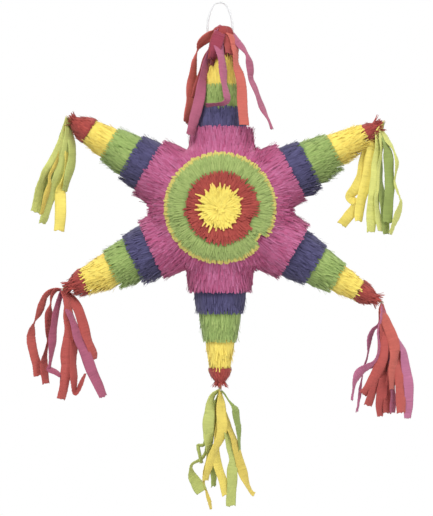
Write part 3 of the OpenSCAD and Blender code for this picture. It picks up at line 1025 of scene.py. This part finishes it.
def drape_depth(streamer, xz, run):
    """Streamers at the top lie on the top arm's coat, in front of it or behind it."""
    arm = arms["top"]
    d = arm.reach + xz[:, 1]
    red = arm.bands["red"]
    coat = np.interp(d, (arm.bands["purple"].start, red.start, arm.reach - 5 * MM, arm.reach),
                     (46 * MM, red.coat[0] + 2.5 * MM, 6.5 * MM, 0.5 * MM))
    away = np.sqrt(np.maximum(coat ** 2 - (0.75 * xz[:, 0]) ** 2, (0.25 * coat) ** 2))
    side = np.sign(streamer.depth)
    return side * (away + abs(streamer.depth) * MM * np.clip(run / (12 * MM), 0, 1))


# Each bunch's streamers by colour, in the order of Streamer's values
TASSELS, TOP_STREAMERS = {}, {}
TASSELS["upper_left"] = dict(lime=[
    (0.3, -4, [[0, 0, 3], [-3, -22, 8], [-9, -41, 12], [-19, -64, 13], [-30, -78, 11],
     [-35, -92, 9], [-39, -111, 12], [-44, -134, 13]]),
    (-0.2, -1, [[0, 0, 3], [1, -12, 5], [0, -34, 10], [-5, -62, 13], [-14, -85, 12],
     [-20, -105, 12], [-28, -128, 12], [-35, -150, 7]]),
    (-0.6, 2, [[0, 0, 3], [5, -17, 6], [7, -41, 9], [6, -65, 11], [1, -88, 9], [-4, -104, 6]]),
    (-0.9, 4, [[0, 0, 2], [-6, -28, 9], [-16, -60, 12], [-26, -84, 10], [-34, -104, 12],
     [-37, -126, 10]]),
], yellow=[
    (0.1, 1.5, [[0, 0, 3], [3, -34, 7], [-1, -70, 5], [-5, -91, 6], [-9, -107, 15], [-9, -134, 16],
     [-11, -160, 14]]),
    (-1.6, -5.5, [[0, 0, 2], [-4, -26, 3], [-12, -56, 3], [-23, -82, 4], [-23, -95, 5],
     [-31, -117, 6], [-35, -138, 4]]),
])
TASSELS["upper_right"] = dict(lime=[
    (0.9, -5, [[0, 0, 3], [-7, -10, 5], [-9, -28, 9], [-10, -50, 12], [-13, -80, 14],
     [-16, -105, 14], [-18, -131, 14], [-19, -155, 13]]),
    (0.4, -3, [[0, 0, 2], [-5, -12, 3], [-4, -28, 6], [-5, -47, 5], [-8, -73, 4], [-10, -104, 8],
     [-8, -132, 9], [-6, -154, 8]]),
    (-1.7, -1, [[0, 0, 2], [-3, -12, 3], [2, -32, 9], [6, -50, 14], [8, -80, 14], [7, -105, 14],
     [5, -142, 14]]),
    (0.6, 1, [[0, 0, 2], [-3, -11, 4], [3, -21, 7], [10, -32, 7], [14, -42, 3], [18, -60, 5],
     [16, -86, 3], [21, -105, 3], [23, -115, 7], [18, -135, 9], [8, -157, 6]]),
    (-1.5, 3, [[0, 0, 2], [-4, -20, 5], [-6, -60, 9], [-3, -100, 10], [2, -130, 12],
     [3, -158, 10]]),
], yellow=[
    (0.3, -2, [[0, 0, 3], [-8, -15, 9], [-16, -33, 14], [-20, -52, 15], [-22, -68, 15],
     [-25, -84, 15], [-31, -105, 14], [-34, -122, 14], [-35, -140, 10]]),
    (-0.4, 1, [[0, 0, 2], [-11, -14, 6], [-23, -35, 11], [-28, -57, 14], [-32, -76, 14],
     [-39, -92, 15], [-48, -105, 13], [-39, -113, 12], [-41, -121, 13], [-48, -130, 15],
     [-60, -145, 14]]),
])
TASSELS["lower_left"] = dict(red=[
    (0.2, 2, [[0, 0, 3], [-6, 1, 4], [-14, -2, 6], [-22, -9, 7], [-28, -22, 10], [-33, -34, 6],
     [-38, -45, 2], [-41, -57, 9], [-42, -72, 11], [-39, -91, 12], [-34, -107, 11],
     [-33, -121, 10]]),
    (-0.8, -1, [[0, 0, 3], [-8, -1, 5], [-14, -10, 4], [-16, -20, 2], [-18, -32, 8], [-18, -47, 9],
     [-18, -60, 7], [-19, -71, 2], [-21, -79, 3], [-23, -90, 6], [-24, -104, 9], [-22, -132, 10]]),
    (0.0, -3, [[0, 0, 3], [8, -16, 9], [10, -35, 12], [11, -54, 13], [9, -72, 14], [6, -91, 15],
     [7, -107, 15], [5, -122, 14], [3, -139, 12], [0, -154, 10]]),
    (-0.7, 0, [[0, 0, 3], [9, -22, 9], [14, -54, 10], [17, -80, 9], [17, -110, 9], [17, -130, 8],
     [20, -144, 7], [28, -128, 5], [34, -117, 4]]),
    (-0.4, 1, [[0, 0, 3], [12, -9, 9], [22, -25, 13], [28, -42, 14], [33, -57, 13], [38, -72, 11],
     [44, -89, 9], [46, -98, 5]]),
], pink=[
    (-0.4, -5, [[0, 0, 3], [-3, -15, 7], [-6, -29, 7], [-9, -42, 8], [-12, -60, 10], [-12, -75, 9],
     [-13, -89, 7], [-16, -104, 3], [-17, -111, 6], [-8, -115, 7], [0, -120, 6]]),
    (0.0, -5.5, [[0, 0, 2], [3, -9, 4], [10, -26, 7], [17, -47, 9], [23, -66, 11], [31, -82, 14],
     [38, -100, 16], [44, -116, 15], [53, -134, 12], [59, -150, 11]]),
])
# In the lower right tassel the pink streamers' tones are lighter than the other pinks': painted
# light.
TASSELS["lower_right"] = dict(red=[
    (0.7, -6, [[0, 0, 3], [-1, -8, 5], [4, -23, 13], [10, -38, 15], [15, -53, 16], [17, -66, 15],
     [16, -84, 12], [13, -104, 11], [12, -122, 7]]),
    (-0.1, -4, [[0, 0, 3], [-2, -14, 8], [0, -40, 14], [1, -66, 16], [-3, -86, 16],
     [-10, -102, 15], [-19, -118, 13], [-28, -128, 13]]),
    (-0.4, -2, [[0, 0, 2], [0, -27, 9], [3, -66, 14], [-2, -98, 14], [-10, -118, 13],
     [-21, -145, 11]]),
    (-0.8, 0, [[0, 0, 2], [2, -40, 11], [6, -79, 14], [3, -105, 14], [-1, -131, 15],
     [-3, -160, 10]]),
    (-0.5, 2, [[0, 0, 2], [7, -45, 11], [14, -80, 14], [13, -105, 14], [9, -131, 13],
     [7, -156, 11]]),
    (0.2, 0, [[0, 0, 2], [7, -25, 8], [18, -52, 12], [22, -66, 13], [23, -85, 13], [24, -105, 13],
     [26, -131, 14], [26, -155, 13]]),
], pink=[
    (1.3, 3, [[0, 0, 2], [8, -26, 6], [20, -50, 8], [29, -67, 8], [33, -85, 13], [36, -105, 14],
     [38, -124, 14], [38, -144, 13], [36, -163, 11]]),
    (0.0, 2, [[0, 0, 2], [6, -50, 6], [12, -92, 4], [13, -104, 6], [14, -118, 8], [16, -137, 9],
     [16, -155, 8]]),
    (1.2, 4, [[0, 0, 2], [-3, -27, 5], [-11, -38, 7], [-15, -46, 7], [-18, -58, 6], [-20, -71, 4],
     [-23, -86, 2], [-27, -105, 3], [-31, -124, 4], [-34, -154, 4]]),
    (0.9, -7, [[0, 0, 2], [-2, -20, 5], [-3, -38, 7], [-3, -60, 8], [-5, -76, 9], [-11, -86, 10],
     [-22, -91, 11], [-33, -98, 12], [-39, -109, 8], [-41, -122, 4], [-42, -137, 2]]),
])
TASSELS["bottom"] = dict(lime=[
    (-0.2, -2, [[0, 0, 3], [-8, -6, 7], [-12, -14, 10], [-14, -29, 14], [-16, -45, 17],
     [-16, -61, 15], [-15, -77, 11], [-16, -94, 6]]),
    (-0.6, 3, [[0, 0, 2], [-9, -30, 5], [-16, -64, 6], [-20, -86, 4], [-27, -97, 4],
     [-38, -104, 5], [-40, -112, 6], [-37, -124, 13], [-30, -136, 18], [-25, -144, 16]]),
    (-0.9, 1, [[0, 0, 2], [-10, -34, 4], [-19, -66, 4], [-23, -77, 4], [-31, -78, 4],
     [-29, -90, 5], [-25, -103, 5]]),
    (-0.5, 1, [[0, 0, 2], [5, -35, 6], [10, -64, 9], [15, -79, 11], [19, -96, 12], [17, -113, 15],
     [17, -135, 14], [15, -164, 13]]),
    (-1.8, 4, [[0, 0, 2], [6, -6, 2], [11, -15, 2], [18, -23, 4], [22, -29, 9], [24, -40, 10],
     [26, -53, 8], [26, -66, 4], [28, -83, 4], [28, -95, 5]]),
    (-1.6, 5, [[0, 0, 2], [-4, -60, 5], [-9, -100, 7], [-9, -137, 8]]),
], yellow=[
    (-0.8, -5, [[0, 0, 3], [1, -8, 6], [2, -18, 11], [2, -35, 14], [3, -51, 15], [0, -69, 12],
     [-8, -85, 11], [-14, -100, 11], [-18, -116, 10], [-20, -127, 9]]),
    (-0.6, -1, [[0, 0, 2], [-1, -40, 6], [-5, -72, 8], [-4, -90, 9], [-3, -103, 11], [0, -116, 12],
     [5, -131, 12], [9, -148, 10]]),
    (-1.6, 3, [[0, 0, 2], [6, -30, 6], [15, -58, 8], [21, -77, 9], [27, -96, 12], [31, -113, 13],
     [36, -129, 9], [44, -143, 5], [49, -147, 5]]),
    (-1.5, 5, [[0, 0, 2], [-8, -50, 5], [-18, -100, 6], [-22, -125, 4], [-19, -142, 3],
     [-16, -155, 4], [-13, -168, 4]]),
])
TOP_STREAMERS["top_left"] = dict(red=[
    (0.5, -3, [[1, 0, 5], [-3, 0, 9], [-9, -6, 11], [-17, -10, 12], [-25, -16, 12], [-31, -23, 9],
     [-34, -31, 2], [-37, -39, 3], [-40, -51, 8], [-41, -68, 12], [-43, -85, 13], [-45, -106, 12],
     [-49, -134, 9]]),
    (-0.8, -2, [[0, 0, 4], [-6, -8, 7], [-14, -24, 6], [-24, -48, 7], [-32, -74, 10],
     [-38, -100, 10]]),
    (-1.4, -6, [[0, 0, 4], [-6, -6, 11], [-10, -18, 14], [-12, -32, 14], [-15, -47, 10]]),
], pink=[
    (-0.1, -5, [[0, 0, 4], [-6, -4, 7], [-10, -17, 9], [-18, -38, 8], [-24, -55, 10],
     [-26, -71, 11], [-31, -98, 15], [-38, -127, 14], [-44, -151, 11]]),
    (-0.7, -3, [[0, 0, 4], [-4, -5, 8], [-8, -20, 10], [-12, -38, 9], [-15, -54, 5]]),
    (-0.2, 4, [[0, 0, 4], [-5, -8, 8], [-12, -38, 12], [-20, -86, 13], [-30, -138, 12]]),
])
TOP_STREAMERS["top_front"] = dict(pink=[
    (0.2, -8, [[0, 0, 4], [-3, -3, 10], [-4, -8, 14], [-5, -20, 14], [-3.5, -32, 12],
     [-2, -42, 11], [1, -60, 10], [3, -76, 9], [6, -98, 9], [3, -106, 6], [-7, -109, 5],
     [-23, -111, 5]]),
    (-1.9, -10, [[0, 1, 7], [-2, -4, 14], [-5, -12, 17], [-8, -22, 17], [-10, -33, 14],
     [-13, -45, 9]]),
], red=[
    (-1.2, -4, [[0, 0, 3], [4, -4, 10], [7, -14, 14], [10, -26, 13], [11, -37, 10]]),
])
TOP_STREAMERS["top_right"] = dict(red=[
    (0.8, -5, [[0, 0, 4], [5, -1, 8], [12, -8, 10], [16, -20, 10], [19, -38, 8], [21, -54, 10],
     [24, -66, 12], [27, -84, 14], [28, -104, 14], [29, -124, 14], [30, -139, 13]]),
    (-0.4, 4, [[0, 0, 4], [5, -8, 8], [12, -38, 12], [20, -86, 13], [30, -138, 12]]),
], pink=[
    (0.1, -2, [[0, 0, 4], [6, 0, 7], [16, -9, 8], [26, -24, 11], [34, -36, 4], [38, -47, 10],
     [40, -58, 11], [41, -71, 7], [47, -88, 8], [55, -107, 8], [63, -124, 5], [69, -142, 4]]),
])


def hang_bunch(name, colours, knot, depth_at, body):
    """One tassel or bunch. All of its streamers of one colour are one cut of crepe in strips.

    The first colour stands for the bunch's solid in the frame.
    """
    replaced = "streamers_" + name
    for colour, streamers in colours.items():
        paper = Paper()
        lengths = [add_streamer(paper, Streamer(*s), knot, depth_at) for s in streamers]
        obj = place(paper, f"streamers_{name}_{colour}", CREPES[colour], body,
                    f"crepe_{colour}", replaced, smooth=True)
        replaced = None


def hang_streamers():
    for name, colours in TASSELS.items():
        hang_bunch(name, colours, middle("knot_" + name), hang_depth, "tassel_" + name)
    tip = core.centre + np.array([3.0 * MM, 0, arms["top"].reach - 3.5 * MM])
    for name, colours in TOP_STREAMERS.items():
        hang_bunch(name, colours, tip, drape_depth, name)


CAP_R, CAP_H, CAP_X = mm(14.5, 10, 4)
CAP_TURN = (0.03, 1.85)  # where the cap starts and ends, in radians down from its top


def fold_cap():
    """Red crepe folded over the top arm's tip, above its streamers."""
    paper = Paper()
    rows, cols = 10, 60
    a, phi = grid(rows, cols, *CAP_TURN)
    folds = 1 + 0.07 * np.sin(5 * phi + 1.5 * a) + 0.05 * np.sin(9 * phi - a) * np.sin(a)
    r = CAP_R * np.sin(np.minimum(a, math.pi / 2)) ** 0.75 * folds
    sag = 1.2 * MM * np.sin(4 * phi + 0.6) * np.sin(a / 2) ** 2
    top = core.centre + np.array([CAP_X, 0, arms["top"].reach + 1.5 * MM])
    out = np.stack([np.sin(phi), -0.85 * np.cos(phi), np.zeros_like(phi)], -1)
    skin = top + out * r[..., None]
    skin[..., 2] += CAP_H * (np.cos(a) - 1) - sag
    inner = skin - out * 0.5 * MM - np.array([0, 0, 0.5 * MM])
    paper.shell(skin, inner, tone=-1.9)
    place(paper, "cap_top", CREPES["red"], "star", "crepe_red", smooth=True)


def add_tube(paper, path, radius, sides=8):
    """A closed tube along a path."""
    along = unit(np.gradient(path, axis=0))
    a = unit(np.cross(along, FRONT + 0.01))  # no path here runs along this vector
    b = np.cross(along, a)
    turn = np.linspace(0, 2 * math.pi, sides, endpoint=False)[:, None]
    ring = path[:, None] + radius * (np.cos(turn) * a[:, None] + np.sin(turn) * b[:, None])
    n = len(path)
    k = np.arange(sides // 2 - 1)
    cap = np.stack([k, k + 1, sides - 2 - k, sides - 1 - k], -1)
    ends = np.concatenate([cap[:, ::-1], cap + (n - 1) * sides])
    paper.add(ring, np.concatenate([wall(n, sides), ends]), 0.0, 0.5)


THREAD_TURNS, THREAD_R = 5.5, 0.36 * MM


def wind_knots():
    """Each tassel is tied on with turns of thread round the arm's point."""
    for name in TIED_ARMS:
        knot = "knot_" + name
        low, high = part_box(knot)
        ball_r = (high - low)[0] / 2
        s = np.linspace(-1, 1, 150)
        along = 0.82 * ball_r * s
        r = np.sqrt(ball_r ** 2 - along ** 2) - 0.3 * MM
        round_arm = arms[name].out(s * THREAD_TURNS * math.pi)
        path = middle(knot) + along[:, None] * arms[name].axis + r[:, None] * round_arm
        paper = Paper()
        add_tube(paper, path, THREAD_R)
        place(paper, "thread_" + name, THREAD, knot, "thread", knot)


def finish_cad_nodes():
    """Procedural materials for the card, tape and plastic that the frame brings."""
    for name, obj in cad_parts.items():
        if name.startswith(("core_", "cone_", "fill_")):
            material = TAPE if name == "core_seam_tape" else CARD
        elif name == "hanging_loop":
            material = LOOP
        else:
            continue
        for slot in obj.material_slots:
            slot.material = material


dress_arms()
dress_medallions()
hang_streamers()
fold_cap()
wind_knots()
finish_cad_nodes()


# ---- camera, light and floor

VIEW_CENTRE = mm(-4.9, -356.6)
VIEW_HEIGHT = 722.4 * MM
DISTANCE = 2.5
SENSOR = 24  # mm, as the lens is
FLOOR_R, FLOOR_Z = 1.15, -0.95
LIGHT_SIZE = 1.2
STAR_CENTRE = (0, 0, -0.3)
LIGHTS = {  # where each one is, and its power
    "key": ((-0.7, -1.7, 1.3), 48),
    "fill": ((1.4, -1.5, 0.4), 13),
    "right": ((1.9, 0.0, 0.5), 9),
    "back_left": ((-1.2, 1.6, 1.3), 34),
    "back_right": ((1.3, 1.5, 1.0), 16),
}


def add_camera():
    camera = bpy.data.cameras.new("camera")
    camera.sensor_fit = "VERTICAL"
    camera.sensor_height = SENSOR
    camera.lens = SENSOR * DISTANCE / VIEW_HEIGHT
    obj = add_object("camera", camera)
    obj.location = (VIEW_CENTRE[0], -DISTANCE, VIEW_CENTRE[1])
    obj.rotation_euler = (math.pi / 2, 0, 0)
    bpy.context.scene.camera = obj


def add_light(name, location, power):
    """A soft disc of light that faces the star."""
    light = bpy.data.lights.new(name, "AREA")
    light.shape = "DISK"
    light.size = LIGHT_SIZE
    light.energy = power
    obj = add_object(name, light)
    obj.location = location
    way = np.array(STAR_CENTRE) - np.array(location)
    obj.rotation_euler = (math.acos(-way[2] / np.linalg.norm(way)), 0,
                          math.atan2(way[0], -way[1]) + math.pi)


def add_world(background, ambient):
    """A white world, as bright as background behind the star and as ambient where it lights it."""
    world = bpy.data.worlds.new("studio")
    world.use_nodes = True
    tree = world.node_tree
    shader = tree.nodes["Background"]
    shader.inputs["Color"].default_value = (1, 1, 1, 1)
    seen = node(tree, "LightPath", "Is Camera Ray")
    feed(tree, shader.inputs["Strength"],
         node(tree, "MapRange", "Result", To_Min=ambient, To_Max=background, Value=seen))
    bpy.context.scene.world = world


def add_floor():
    paper = Paper()
    rho, theta = grid(5, 96, 0.01, FLOOR_R)
    top = np.stack([rho * np.sin(theta), rho * np.cos(theta), np.full(rho.shape, FLOOR_Z)], -1)
    paper.shell(top, top - [0, 0, 0.01])
    m, tree, shader = new_material("floor", 0.9)
    colour = ramp(tree, noise(tree, 2.0), ((0.3, grey(0.80)), (0.7, grey(0.84))))
    feed(tree, shader.inputs["Base Color"], colour)
    paper.build("floor", m, smooth=False)


add_camera()
add_world(background=1.0, ambient=0.36)
add_floor()
for light_name, (location, power) in LIGHTS.items():
    add_light(light_name, location, power)
bpy.context.scene.view_settings.view_transform = "Standard"
